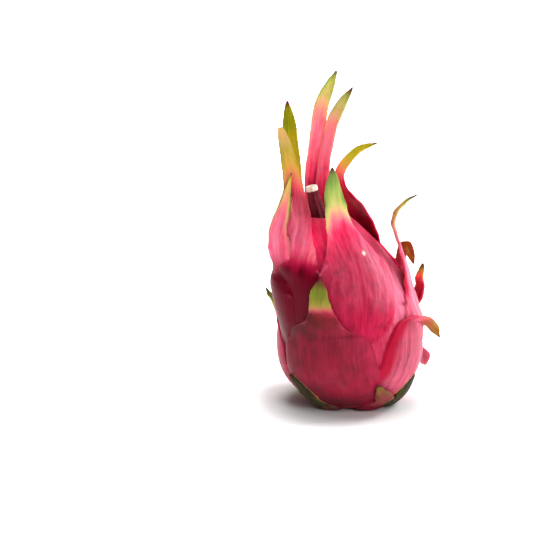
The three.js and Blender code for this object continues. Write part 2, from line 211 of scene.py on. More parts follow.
# The shape of a scale, in degrees and millimetres:
# azimuth: 0 at the front and growing to the right; swing: how far it drifts sideways up its pad;
# from and to: the latitudes of its base and of where it leaves the skin; pad and neck: its half widths;
# shape: the half width of its free part; shoulder and spread: where its pad starts to narrow and ends;
# bulge: how much prouder than usual it stands; twist: about itself, between twistFrom and twistTo;
# via: the points that its free part passes, from the foot's middle, and the last one is its tip.
# A scale with no via springs from the skin by its length, its first lift and the curl added to that.
# The solid's scales have the same values, but here the low front one's tip is fuller and further out.
# Its colours:
# stages: how ripe green it is along it; edgeShift: how much earlier its margins turn; edgeRust: how brown
# they are; bloom: how pale and waxy it is, wax with a painted sheen laid in, from waxSheenFrom to
# waxSheenTo; bloomSide: more of that to one side; straw: how far its tip has dried to straw; gloom: how dark
# it has withered; pale: how light its green is; rust: how brown its blade is; deep: how dark a crimson
# it is, partly its own deeper red and partly painted shade; deepAndShadeStops and deepSide: that along
# it, and more of it to one side; innerDeep: how crimson its inner face is; redMargin: the side, start and end
# of a margin that curls open; meltSide: the margin that runs into the skin
scales = [
    {"name": "tallBlade", "azimuth": 196, "from": 60, "to": 72, "pad": 8, "neck": 4.6, "shape": broad,
     "via": [(-22, 15, 128), (-20, 16.5, 150), (-16.5, 17, 174), (-8.4, 17, 192.5)],
     "stages": [(1, 0.13), (1.25, 0.2), (1.5, 0.28), (1.68, 0.36), (1.76, 0.48), (1.83, 0.6), (1.9, 0.68),
                (1.97, 0.86), (2, 1)],
     "edgeShift": 0.16, "bloom": 0.7, "waxSheenFrom": 1.2, "waxSheenTo": 1.35, "pale": 0.7, "deep": 0,
     "innerDeep": 0},
    {"name": "leaningBlade", "azimuth": 164, "from": 60, "to": 72, "pad": 8, "neck": 3.9, "shape": broad,
     "via": [(-16.3, 12, 124), (-14.2, 13, 146), (-8.9, 14, 167), (1, 14, 183.5)],
     "stages": [(1, 0.14), (1.3, 0.22), (1.55, 0.29), (1.7, 0.4), (1.78, 0.56), (1.88, 0.63), (1.93, 0.78),
                (1.96, 0.94), (2, 1)],
     "edgeShift": 0.1, "bloom": 0.5, "waxSheenFrom": 1.1, "waxSheenTo": 1.4, "pale": 0.8, "deep": 0,
     "innerDeep": 0},
    {"name": "greenBlade", "azimuth": 232, "from": 20, "to": 46, "pad": 13, "neck": 4.8, "shape": broad,
     "spread": 1.2, "twist": 42, "twistFrom": 0.1, "twistTo": 0.6,
     "via": [(-33, 14, 122), (-34.6, 18, 150), (-36.7, 22, 174.5)],
     "stages": [(1, 0.2), (1.3, 0.44), (1.48, 0.57), (1.6, 0.65), (1.75, 0.72), (1.82, 0.78), (1.95, 0.8),
                (1.98, 0.95), (2, 1)],
     "bloom": 0.1, "pale": 0, "rust": 0.25, "deep": 0.4},
    {"name": "twistedBlade", "azimuth": 130, "from": 8, "to": 42, "pad": 20, "neck": 8.8, "shape": waisted,
     "shoulder": 0.85, "spread": 1.22, "twist": -46,
     "via": [(5.6, 17, 110), (-2, 16, 120), (-6.4, 14, 132), (-1, 12, 142.5), (6, 11, 148.5),
             (16.3, 10, 152)],
     "stages": [(1, 0.12), (1.35, 0.12), (1.5, 0.26), (1.63, 0.42), (1.74, 0.66), (1.93, 0.78),
                (1.97, 0.94), (2, 1)],
     "edgeShift": -0.08, "bloom": 0, "pale": 0.1, "deep": 0},
    {"name": "bluntBlade", "azimuth": -47, "from": -8, "to": 40, "pad": 19, "neck": 6.4, "shape": blunt,
     "shoulder": 0.84, "spread": 1.2, "twist": -38, "twistFrom": 0.05, "twistTo": 0.5,
     "via": [(-31.2, -19, 112), (-32.8, -20, 126), (-35.8, -20, 145), (-40.8, -21, 165.5)],
     "stages": [(0.9, 0.12), (1.05, 0.22), (1.2, 0.15), (1.4, 0.14), (1.5, 0.22), (1.6, 0.38), (1.7, 0.55),
                (1.78, 0.63), (1.86, 0.7), (2, 0.62)],
     "edgeShift": 0.14, "edgeRust": 0.3, "bloom": 1.3, "waxSheenFrom": 0.93, "straw": 0.75, "rust": 0.3,
     "deep": 1,
     "deepAndShadeStops": [(0, 1), (0.8, 1), (1, 0.25), (1.08, 0), (1.25, 0), (1.4, 0.35), (1.52, 0.2), (1.6, 0)]},
    {"name": "slimBlade", "azimuth": -66, "from": -8, "to": 30, "pad": 14, "neck": 3.8, "bulge": 1.9,
     "spread": 1.3, "twist": -38, "twistFrom": 0, "twistTo": 0.4,
     "via": [(-41.6, -17, 94), (-42.2, -18, 105), (-40, -19, 115), (-37.6, -20, 124), (-34.4, -24, 141)],
     "stages": [(0.9, 0.12), (1.3, 0.16), (1.55, 0.24), (1.66, 0.4), (1.8, 0.54), (1.9, 0.6), (1.95, 0.86),
                (2, 1)],
     "edgeShift": 0.5, "edgeRust": 0.6, "bloom": 0.8, "waxSheenFrom": 1, "waxSheenTo": 1.45, "rust": 0.1,
     "deep": 1, "deepSide": 0.4,
     "deepAndShadeStops": [(0, 1), (0.95, 1), (1.22, 0)]},
    {"name": "frontBlade", "azimuth": 10, "swing": 20, "from": -4, "to": 38, "pad": 22.6, "neck": 7.4,
     "shoulder": 0.86, "bulge": 1.25, "spread": 1.22,
     "via": [(-6.6, -26.5, 108), (-10.4, -27.5, 125), (-12, -26, 143.5)],
     "stages": [(1, 0.12), (1.2, 0.14), (1.38, 0.2), (1.48, 0.3), (1.54, 0.4), (1.6, 0.52), (1.66, 0.63),
                (1.74, 0.71), (1.83, 0.79), (1.92, 0.84), (1.97, 0.92), (2, 1)],
     "edgeShift": 0.26, "bloom": 0.15, "waxSheenFrom": 0.35, "bloomSide": 4.2, "pale": 0.9, "deep": 0.5,
     "deepAndShadeStops": [(0, 1), (0.5, 0.9), (1.05, 0.7), (1.3, 0)]},
    {"name": "curledStrip", "azimuth": 80, "from": -30, "to": 10, "pad": 23, "neck": 5, "shoulder": 0.85,
     "spread": 1.25, "twist": -15, "twistFrom": 0.3, "twistTo": 0.6,
     "via": [(35, -5, 69), (32.6, -5, 79.5), (28.6, -4, 93), (24.4, -5, 105.5), (26, -5, 115),
             (31.5, -5, 121), (38.3, -5, 124.5)],
     "stages": [(1, 0.1), (1.4, 0.14), (1.6, 0.3), (1.74, 0.5), (1.88, 0.66), (1.93, 0.9), (2, 1)],
     "bloom": 1, "waxSheenFrom": 0.6, "waxSheenTo": 1.4, "pale": 0.4, "rust": 0.1, "deep": 0.1,
     "redMargin": (-1, 1.05, 1.5)},
    {"name": "droopingTip", "azimuth": 100, "from": -6, "to": 26, "pad": 14, "neck": 3.6, "twist": -72,
     "twistFrom": 0, "twistTo": 0.5,
     "via": [(31.5, 12, 88.5), (33, 12, 91), (35.6, 11.5, 87), (38, 11, 79.5)],
     "stages": [(1, 0.12), (1.25, 0.2), (1.45, 0.5), (1.85, 0.66), (2, 1)],
     "edgeShift": -0.06, "bloom": 0.3, "pale": 0, "rust": 1},
    {"name": "redBlade", "azimuth": 112, "from": -34, "to": 6, "pad": 16, "neck": 6,
     "via": [(41.4, 14, 62), (42.4, 14, 71), (43.8, 15, 79.5)],
     "stages": [(1, 0.06), (1.5, 0.12), (1.68, 0.34), (1.82, 0.58), (1.92, 0.86), (2, 1)],
     "edgeShift": 0.06, "bloom": 0.2},
    {"name": "rightWing", "azimuth": 56, "swing": 18, "from": -56, "to": 7, "pad": 25, "neck": 6.8,
     "shape": pointed, "shoulder": 0.8, "bulge": 1.3,
     "via": [(41, -16, 53.5), (46.8, -14, 48.5), (52, -12, 41.5)],
     "stages": [(1, 0.12), (1.2, 0.28), (1.42, 0.46), (1.65, 0.58), (1.88, 0.68), (1.94, 0.94), (2, 1)],
     "edgeShift": 0.08, "bloom": 0.42, "bloomSide": 1, "gloom": 0.12, "pale": 0.35, "rust": 0.85,
     "deep": 0.28, "deepSide": -0.9, "redMargin": (-1, 0.45, 1.15), "meltSide": -1,
     "deepAndShadeStops": [(0, 0.3), (0.45, 0.9), (1, 0.9), (1.25, 0)]},
    {"name": "bluntSide", "azimuth": 97, "from": -60, "to": -12, "pad": 13, "neck": 5.5, "shape": blunt,
     "twist": 50,
     "via": [(42, 5, 33), (44.8, 5, 27), (44.5, 5, 19.5)],
     "stages": [(1, 0.12), (1.6, 0.18), (1.9, 0.3), (2, 0.9)],
     "edgeShift": 0.1, "bloom": 1.4, "waxSheenTo": 1.9, "gloom": 0.35, "pale": 0.4, "deep": 0.1,
     "innerDeep": 0},
    {"name": "frontBelly", "azimuth": -17, "swing": -14, "from": -64, "to": 3, "pad": 29.6, "neck": 6.2,
     "shape": broad, "shoulder": 0.8, "bulge": 1.2, "spread": 1.22,
     "via": [(-17.4, -39.6, 58), (-19.2, -40.4, 70.6), (-18.9, -40, 83)],
     "stages": [(1, 0.05), (1.34, 0.08), (1.46, 0.22), (1.53, 0.4), (1.6, 0.64), (1.7, 0.76), (1.84, 0.8),
                (1.91, 0.9), (2, 1)],
     "bloom": 0.04, "gloom": 0.32, "pale": 0.4, "rust": 0.25, "deep": 1, "deepSide": -0.45, "meltSide": 1,
     "deepAndShadeStops": [(0, 1), (0.35, 0.95), (0.55, 0.5), (0.9, 0.4), (1.1, 0.65), (1.4, 0.8), (1.6, 0)]},
    {"name": "stemRight", "azimuth": 62, "from": -84, "to": -66, "pad": 13, "neck": 10,
     "via": [(25.5, -14, 2.5), (31, -16.6, 8), (34.6, -18.4, 15), (37, -19.5, 21.5)],
     "stages": basalStages, "bloom": 0, "gloom": 1},
    {"name": "stemFront", "azimuth": 34, "from": -78, "to": -54, "pad": 11, "neck": 6.5, "shape": pointed,
     "via": [(19, -30.5, 9.5), (17, -36, 14.5), (14.6, -39.5, 21)],
     "stages": [(0.8, 0.1), (1.2, 0.22), (1.6, 0.36), (1.9, 0.56), (2, 1)],
     "bloom": 0, "gloom": 0.75, "rust": 0.4, "deep": 0.6},
    {"name": "stemLeft", "azimuth": -42, "from": -78, "to": -54, "pad": 11, "neck": 6.5,
     "via": [(-25, -25, 11), (-30, -24, 16.5), (-35.3, -22, 22)],
     "stages": basalStages, "bloom": 0.1, "gloom": 0.95, "pale": 0.5, "rust": 0.5, "deep": 0.8},
    {"name": "stemBackRight", "azimuth": 122, "from": -78, "to": -54, "pad": 11, "neck": 7, "length": 17,
     "lift": 4, "curl": -20, "stages": basalStages, "gloom": 0.3},
    {"name": "stemBack", "azimuth": 188, "from": -78, "to": -54, "pad": 12, "neck": 7, "length": 19,
     "lift": 4, "curl": -20, "stages": basalStages, "gloom": 0.5},
    {"name": "stemBackLeft", "azimuth": 248, "from": -78, "to": -54, "pad": 11, "neck": 7, "length": 16,
     "lift": 4, "curl": -20, "stages": basalStages, "gloom": 0.4},
    {"name": "backRight", "azimuth": 152, "from": -62, "to": 2, "pad": 24, "neck": 6.5, "length": 28,
     "lift": 18, "curl": 34, "bloom": 0.4, "pale": 0.4},
    {"name": "backLeft", "azimuth": 208, "from": -58, "to": 8, "pad": 24, "neck": 6.5, "length": 31,
     "lift": 14, "curl": 26, "bloom": 0.3},
    {"name": "leftLow", "azimuth": 264, "from": -62, "to": 0, "pad": 23, "neck": 6.2, "length": 25,
     "lift": 10, "curl": 24, "bloom": 0.2, "pale": 0.3, "deep": 0.9},
    {"name": "backHigh", "azimuth": 180, "from": -6, "to": 44, "pad": 18, "neck": 6, "length": 36,
     "lift": 18, "curl": 34, "bloom": 0.4, "pale": 0.5},
    {"name": "leftHigh", "azimuth": 240, "from": -12, "to": 36, "pad": 18, "neck": 5.8, "length": 23,
     "lift": 8, "curl": 14, "bloom": 0.3, "pale": 0.3, "deep": 0.7},
]

usual = {  # what a scale is that doesn't say otherwise; all else is 0
    "shape": blade,
    "shoulder": 0.7,
    "spread": 1,
    "bulge": 1,
    "twistFrom": 0.35,
    "twistTo": 0.7,
    "stages": usualStages,
    "edgeShift": 0.05,
    "bloom": 0.12,
    "waxSheenFrom": 0.1,
    "waxSheenTo": 1,
    "pale": 0.2,
    "deep": 0.3,
    "deepAndShadeStops": [(0, 1), (0.3, 1), (1.15, 0)],
    "innerDeep": 1,
}
strawAlong = [(1.6, 0), (1.8, 0.2), (1.9, 0.85), (2, 1)]
gloomAlong = [(0.15, 0), (0.5, 0.8), (0.9, 1), (2, 1)]


def trait(scale, key):  # what a scale says of itself, or else the usual
    return scale.get(key, usual.get(key, 0))


def waxSheenShare(scale, u, v):  # where along a scale, and across it, the wax and its painted sheen lie
    start = trait(scale, "waxSheenFrom")
    end = trait(scale, "waxSheenTo")
    sideways = 1 + trait(scale, "bloomSide") * smooth(v, 0.2, 0.8)
    return smooth(u, start, start + 0.35) * (1 - smooth(u, end, end + 0.6)) * sideways


def meltShare(scale, u, v):  # how far a scale runs into the skin round its foot, and along one of its margins
    sideways = smooth(v * trait(scale, "meltSide"), 0.15, 0.6) * (1 - smooth(u, 0.7, 1))
    return max(1 - smooth(u, 0.3, 0.68), sideways)


def azimuthAlong(scale, u):
    return scale["azimuth"] + trait(scale, "swing") * (u - 0.5)


def padLength(scale):
    steps = 12
    places = [skinPoint(0, mix(scale["from"], scale["to"], k / steps), 0) for k in range(steps + 1)]
    return sum((b - a).length for a, b in zip(places, places[1:]))


def holdOf(scale):  # the length over which a scale lets go of the skin, ending where it leaves it
    return min(scaleLayout["holdLength"], scaleLayout["holdShare"] * padLength(scale))


def leavePlace(scale):  # where a scale leaves the skin, and the directions along it, out of it and across it
    justBefore = 0.97
    azimuth = azimuthAlong(scale, 1)
    place = skinPoint(azimuth, scale["to"], 0)
    before = skinPoint(azimuthAlong(scale, justBefore), mix(scale["from"], scale["to"], justBefore), 0)
    forward = (place - before).normalized()
    outward = skinPoint(azimuth, scale["to"], 1) - place
    outward = (outward - forward * outward.dot(forward)).normalized()
    return place, forward, outward, forward.cross(outward)


def springing(scale, place, forward, outward):  # the points of a scale that has no via
    steps = 4
    points = []
    at = place.copy()
    for k in range(steps):
        pitch = radians(scale["lift"] + scale["curl"] * (k + 0.5) / steps)
        ahead = forward * (cos(pitch) * scale["length"] / steps)
        away = outward * (sin(pitch) * scale["length"] / steps)
        at = at + ahead + away
        points.append(at)
    return points


def freePath(scale):  # the line of a scale's middle once it is free, with the directions that go with it
    nearby = 0.1
    hold = holdOf(scale)
    steps = scaleLayout["pathSteps"]
    place, forward, outward, sideways = leavePlace(scale)
    if "via" in scale:
        free = [Vector(point) for point in scale["via"]]
    else:
        free = springing(scale, place, forward, outward)
    guide = [place - forward * hold, place] + free
    reached = [-hold]
    for a, b in zip(guide, guide[1:]):
        reached.append(reached[-1] + (b - a).length)
    stations = [[(r, point[axis]) for r, point in zip(reached, guide)] for axis in range(3)]

    def placeAt(distance):
        return Vector([through(axis, distance) for axis in stations])

    frames = []
    for k in range(steps + 1):
        share = k / steps
        distance = share * reached[-1]
        heading = (placeAt(distance + nearby) - placeAt(distance - nearby)).normalized()
        sideways = (sideways - heading * sideways.dot(heading)).normalized()
        turned = smooth(share, trait(scale, "twistFrom"), trait(scale, "twistTo"))
        roll = radians(trait(scale, "twist")) * turned
        side = Matrix.Rotation(-roll, 3, heading) @ sideways
        frames.append((placeAt(distance), heading, side, side.cross(heading)))
    return frames, reached[-1]


def halfWidth(scale, u):
    narrowing = usual["shoulder"]
    shoulder = trait(scale, "shoulder")
    above = narrowing + (u - shoulder) * (1 - narrowing) / (trait(scale, "spread") - shoulder)
    warped = u * narrowing / shoulder if u < shoulder else above
    flared = through(flare, warped)
    return scale["neck"] * through(trait(scale, "shape"), u) + (scale["pad"] - scale["neck"]) * flared


def ripple(scale, u, v, alongMm):  # the gentle waves of a margin, two lengths laid over each other
    phase = scale["azimuth"] * 0.37
    long = sin(2 * pi * alongMm / scaleLayout["waveLength"] + phase)
    short = sin(4.4 * pi * alongMm / scaleLayout["waveLength"] + v)
    wave = long + scaleLayout["shortWave"] * short
    free = smooth(u, 0.45, 1.1)
    return scaleLayout["waveHeight"] * wave * abs(v) ** 3 * free * (1 - smooth(u, 1.85, 2))


def scalePoint(scale, path, lengths, u, v, outer):
    padMm, freeMm = lengths
    proud = mix(trait(scale, "bulge"), 1, smooth(u, 0.9, 1.2)) if outer else 1
    middle = through(outerMiddle if outer else innerMiddle, u)
    edge = through(outerEdge if outer else innerEdge, u)
    alongMm = min(u, 1) * padMm + (max(u, 1) - 1) * freeMm
    keel = scaleLayout["keelDepth"] * smooth(u, 1.05, 1.4) * max(1 - (v / scaleLayout["keelReach"]) ** 2, 0)
    lift = mix(edge, middle, (1 - v * v) ** scaleLayout["roundness"]) * proud + ripple(scale, u, v, alongMm)
    lift -= keel if outer else -keel * scaleLayout["keelInside"]
    across = v * halfWidth(scale, u)

    held = min(u, 1)
    latitude = mix(scale["from"], scale["to"], held)
    turn = degrees(across / max(outline(latitude)[0], scaleLayout["leastGirth"]))
    hugging = skinPoint(azimuthAlong(scale, held) + turn, latitude, lift)

    reached = (max(u, 1) - 1) * scaleLayout["pathSteps"]
    k = min(floor(reached), scaleLayout["pathSteps"] - 1)
    place, heading, side, face = path[k]
    nextPlace, _, nextSide, nextFace = path[k + 1]
    share = reached - k
    cup = across * across / (2 * max(outline(scale["to"])[0], scaleLayout["leastCup"]))
    free = place.lerp(nextPlace, share) + heading * ((held - 1) * padMm)
    free = free + side.lerp(nextSide, share) * across + face.lerp(nextFace, share) * (lift - cup)

    point = hugging.lerp(free, smooth(u, 1 - holdOf(scale) / padMm, 1))
    point.z = max(point.z, scaleLayout["footClear"])
    return point, (across, alongMm)


# What is known at each point. The material reads the colours and the grain, and the shape reads melt
colourNames = ["stage", "bloom", "straw", "gloom", "pale", "inner", "deep", "rust", "thin"]
layerNames = colourNames + ["melt", "grainAcross", "grainAlong", "grainSeed"]


def scaleParts(scale, seed):  # a scale as points, their layers and faces
    bm = bmesh.new()
    bmesh.ops.create_grid(bm, x_segments=scaleLayout["across"], y_segments=scaleLayout["along"], size=1)
    raised = bmesh.ops.extrude_face_region(bm, geom=bm.faces[:])["geom"]
    for vert in raised:
        if isinstance(vert, bmesh.types.BMVert):
            vert.co.z = 1
    bmesh.ops.recalc_face_normals(bm, faces=bm.faces[:])
    path, freeMm = freePath(scale)
    lengths = (padLength(scale), freeMm)
    points = []
    layers = []
    for vert in bm.verts:
        u = 1 + vert.co.y
        v = vert.co.x
        outer = vert.co.z > 0.5
        point, (across, along) = scalePoint(scale, path, lengths, u, v, outer)
        points.append(point)
        edge = abs(v)
        stage = through(trait(scale, "stages"), u)
        turning = smooth(stage, 0.05, 0.3) * (1 - smooth(stage, 0.6, 0.8))
        stage += trait(scale, "edgeShift") * smooth(edge, 0.45, 1) * turning
        opened = openedMargin(scale, u, v)
        deepAndShadeHere = through(trait(scale, "deepAndShadeStops"), u) * (1 + trait(scale, "deepSide") * v)
        edgeRust = trait(scale, "edgeRust") * smooth(edge, 0.75, 1) * smooth(u, 1.1, 1.5)
        layers.append((
            stage,
            trait(scale, "bloom") * waxSheenShare(scale, u, v) * (1 - 0.5 * edge ** 2) * (1 - opened),
            trait(scale, "straw") * through(strawAlong, u),
            trait(scale, "gloom") * through(gloomAlong, u),
            trait(scale, "pale"),
            opened if outer else trait(scale, "innerDeep"),
            trait(scale, "deep") * deepAndShadeHere,
            trait(scale, "rust") * smooth(u, 1.1, 1.4) + edgeRust,
            smooth(u, 1.02, 1.35),
            meltShare(scale, u, v),
            across, along, seed,
        ))
    faces = [[vert.index for vert in face.verts] for face in bm.faces]
    bm.free()
    return points, layers, faces


def openedMargin(scale, u, v):  # where a margin curls open and shows its crimson inner face
    if "redMargin" not in scale:
        return 0
    side, start, end = scale["redMargin"]
    return smooth(v * side, 0.6, 0.85) * smooth(u, start, start + 0.15) * (1 - smooth(u, end - 0.15, end))


# The bare skin between the scales. Its azimuths and latitudes are in degrees
bareSkin = {
    "crown": (60, 80),  # latitudes between which it turns into the hollow of the crown
    "paintedShadeMiddle": -60,  # azimuth of the painted shade, a darker crimson patch at the left
    "paintedShadeReach": (30, 75),  # how far from there it starts to fade, and ends
    "paintedShadeTop": (15, 45),
    "paintedLightMiddle": -10,  # azimuth of the painted light, a lighter patch between the crown's blades
    "paintedLightReach": (0.4, 0.9),  # cosines of the angles from there at which it starts, and is full
    "paintedLightFoot": (30, 50),
    "waxSheenPatchMiddle": 64,  # azimuth and latitude of the patch at the right with more wax and a painted sheen
    "waxSheenPatchLatitude": 12,
    "waxSheenPatchReach": (0.8, 0.97),
    "waxSheenPatchHeight": (14, 34),
    "stages": (0.08, 0.06, 0.13),  # how ripe green, and how much more at the crown and where light is painted in
    "bloom": (0.12, 0.6),  # how waxy it is, with its painted sheen, and how much more in the patch at the right
    # painted shade in the hollow of the crown, laid on in the withered colour
    "hollowShadeAtCrown": 0.25,
    "pale": 0.2,
    # how dark a crimson it is, and full where shade is painted at the left
    "deep": 0.3,
    "melt": 0.6,
    "scarBelow": 1,  # the stem's hollow is only in the underside, lower than this
}


def bodyParts():
    bm = bmesh.new()
    bmesh.ops.create_uvsphere(bm, u_segments=body["segments"], v_segments=body["rings"], radius=1)
    points = []
    layers = []
    for vert in bm.verts:
        latitude = degrees(atan2(vert.co.z, hypot(vert.co.x, vert.co.y)))
        azimuth = degrees(atan2(vert.co.x, -vert.co.y))
        point = skinPoint(azimuth, latitude, 0)
        inScar = hypot(point.x, point.y) < body["scarRadius"] and point.z < bareSkin["scarBelow"]
        point.z = max(point.z, 0) + (body["scarDepth"] if inScar else 0)
        points.append(point)
        # Painted shade at the left, painted light between the crown's blades, painted sheen at the right
        crown = smooth(latitude, *bareSkin["crown"])
        fromShade = abs((azimuth - bareSkin["paintedShadeMiddle"] + 180) % 360 - 180)
        paintedShade = 1 - smooth(fromShade, *bareSkin["paintedShadeReach"])
        paintedShade *= 1 - smooth(latitude, *bareSkin["paintedShadeTop"])
        paintedLight = smooth(cos(radians(azimuth - bareSkin["paintedLightMiddle"])), *bareSkin["paintedLightReach"])
        paintedLight *= smooth(latitude, *bareSkin["paintedLightFoot"]) * (1 - crown)
        waxSheenPatch = smooth(cos(radians(azimuth - bareSkin["waxSheenPatchMiddle"])), *bareSkin["waxSheenPatchReach"])
        waxSheenPatch *= 1 - smooth(abs(latitude - bareSkin["waxSheenPatchLatitude"]), *bareSkin["waxSheenPatchHeight"])
        stage, stageAtCrown, stageInPaintedLight = bareSkin["stages"]
        bloom, waxSheenInPatch = bareSkin["bloom"]
        layers.append((
            stage + stageAtCrown * crown + stageInPaintedLight * paintedLight,
            (bloom + waxSheenInPatch * waxSheenPatch) * (1 - crown) * (1 - paintedLight),
            0,
            bareSkin["hollowShadeAtCrown"] * crown,
            bareSkin["pale"],
            0,
            mix(bareSkin["deep"], 1, paintedShade) * (1 - paintedLight) * (1 - waxSheenPatch),
            0,
            0,
            bareSkin["melt"],
            radians(azimuth) * outline(latitude)[0], point.z, 0.0,
        ))
    faces = [[vert.index for vert in face.verts] for face in bm.faces]
    bm.free()
    return points, layers, faces


def gather():  # body and scales as one set of points, layers and faces
    points, layers, faces = bodyParts()
    for k, scale in enumerate(scales):
        morePoints, moreLayers, moreFaces = scaleParts(scale, scaleLayout["seedStep"] * (k + 1))
        start = len(points)
        points += morePoints
        layers += moreLayers
        faces += [[start + i for i in face] for face in moreFaces]
    shift = Vector((body["footX"], body["footY"], 0))
    return [(point + shift) * mm for point in points], np.array(layers), faces


# The fused skin
skinFinish = {
    "voxel": 0.5,  # millimetres
    "smoothSteps": 3,
    "triangles": 186000,
    "meltSteps": 34,  # how softly the foot of a pad runs into the skin below it
    "curveSteps": 6,  # how far round a point its hollowness is measured
    "curveScale": 0.35,  # millimetres of hollow that count as a full groove
    "evenedOut": 0.7,  # how far neighbouring points share their colours
    "relief": (0.5, 4),  # millimetres above the ground between which the relief comes in
    "swells": [(42, 0.33), (110, 0.12)],  # how fine, by the metre, and how high in millimetres
    "foldEnds": 0.35,  # the height of a fold at its ends, as a share
}

# Creases and folds of the skin: where each starts and ends in the picture, then its width and height in
# millimetres
folds = [
    ((396, 303), (418, 306), 0.9, -0.9),
    ((399, 311), (417, 312), 2.2, 0.9),
    ((391, 318), (381, 333), 0.9, -0.7),
    ((322, 274), (329, 262), 1.5, 0.9),
    ((316, 271), (322, 277), 1.3, 0.8),
    ((352, 243), (346, 262), 1.6, -0.45),
    ((366, 256), (374, 268), 0.8, -0.5),
    ((371, 252), (383, 268), 0.8, -0.5),
    ((378, 252), (385, 262), 0.7, 0.45),
    ((330, 339), (358, 338), 1.3, 0.5),
    ((300, 343), (330, 340), 1.4, 0.3),
    ((287, 190), (283, 228), 0.8, -0.6),
    ((291, 176), (288, 200), 0.7, -0.7),
    ((360, 255), (352, 258), 0.8, 0.3),
]
scars = [{"at": (364, 253), "radius": 1.2}]


def fusedMesh(points, faces):
    raw = bpy.data.meshes.new("raw")
    raw.from_pydata(points, [], faces)
    made = newObject("raw", raw)
    remesh = made.modifiers.new("fuse", "REMESH")
    remesh.mode = "VOXEL"
    remesh.voxel_size = skinFinish["voxel"] * mm
    soften = made.modifiers.new("soften", "SMOOTH")
    soften.factor = 0.5
    soften.iterations = skinFinish["smoothSteps"]
    fused = evaluated(made)
    bm = bmesh.new()
    bm.from_mesh(fused)
    keepOutermost(bm)
    bmesh.ops.triangulate(bm, faces=bm.faces[:])
    bm.to_mesh(fused)
    share = min(skinFinish["triangles"] / len(bm.faces), 1)
    bm.free()
    made.modifiers.clear()
    made.data = fused
    thin = made.modifiers.new("thin", "DECIMATE")
    thin.ratio = share
    final = evaluated(made)
    bpy.data.objects.remove(made)
    print("fused skin:", len(final.polygons), "triangles")
    return final


def evaluated(made):
    graph = bpy.context.evaluated_depsgraph_get()
    return bpy.data.meshes.new_from_object(made.evaluated_get(graph))


def keepOutermost(bm):  # drops the shells of closed pockets
    start = max(bm.verts, key=lambda vert: vert.co.z)
    start.tag = True
    front = [start]
    while front:
        vert = front.pop()
        for edge in vert.link_edges:
            other = edge.other_vert(vert)
            if not other.tag:
                other.tag = True
                front.append(other)
    bmesh.ops.delete(bm, geom=[vert for vert in bm.verts if not vert.tag], context="VERTS")


def readLayers(mesh, points, layers, faces):  # each point of the skin takes the layers of the nearest part
    tree = BVHTree.FromPolygons(points, faces)
    values = np.zeros((len(mesh.vertices), layers.shape[1]))
    for vert in mesh.vertices:
        place, _, index, _ = tree.find_nearest(vert.co)
        corners = faces[index]
        weights = poly_3d_calc([points[i] for i in corners], place)
        values[vert.index] = np.dot(weights, layers[corners])
    return values


def coordinates(mesh):
    flat = np.empty(len(mesh.vertices) * 3)
    mesh.vertices.foreach_get("co", flat)
    return flat.reshape(-1, 3)


def normals(mesh):
    flat = np.empty(len(mesh.vertices) * 3)
    mesh.vertex_normals.foreach_get("vector", flat)
    return flat.reshape(-1, 3)


def edgeEnds(mesh):
    flat = np.empty(len(mesh.edges) * 2, dtype=np.int64)
    mesh.edges.foreach_get("vertices", flat)
    return flat.reshape(-1, 2)


def averaged(values, ends, steps):  # each point moves to the mean of its neighbours, some times over
    count = np.bincount(ends.ravel(), minlength=len(values)).astype(float)[:, None]
    values = values.copy()
    for _ in range(steps):
        total = np.zeros_like(values)
        np.add.at(total, ends[:, 0], values[ends[:, 1]])
        np.add.at(total, ends[:, 1], values[ends[:, 0]])
        values = total / count
    return values


def foldHeights(mesh, places):
    polygons = [list(polygon.vertices) for polygon in mesh.polygons]
    tree = BVHTree.FromPolygons([vert.co for vert in mesh.vertices], polygons)
    eye = cameraPlace()
    heights = np.zeros(len(places))
    for startPixel, endPixel, width, height in folds:
        start, _, _, _ = tree.ray_cast(eye, pixelRay(startPixel))
        end, _, _, _ = tree.ray_cast(eye, pixelRay(endPixel))
        if start is None or end is None:
            print("a fold misses the skin:", startPixel, endPixel)
            continue
        start, end = np.array(start), np.array(end)
        line = end - start
        share = np.clip((places - start) @ line / (line @ line), 0, 1)
        away = np.linalg.norm(places - start - share[:, None] * line, axis=1) / (width * mm)
        ease = mix(skinFinish["foldEnds"], 1, np.sin(pi * share))
        heights += height * mm * ease * np.exp(-away ** 2)
    scarred = np.zeros(len(places))
    for scar in scars:
        middle, _, _, _ = tree.ray_cast(eye, pixelRay(scar["at"]))
        away = np.linalg.norm(places - np.array(middle), axis=1) / (scar["radius"] * mm)
        scarred = np.maximum(scarred, np.exp(-away ** 4))
    return heights, scarred


def swellings(places):  # the broad unevenness of a grown thing, in millimetres
    swells = skinFinish["swells"]
    return np.array([sum(noise.noise(Vector(place) * number) * height for number, height in swells)
                     for place in places])


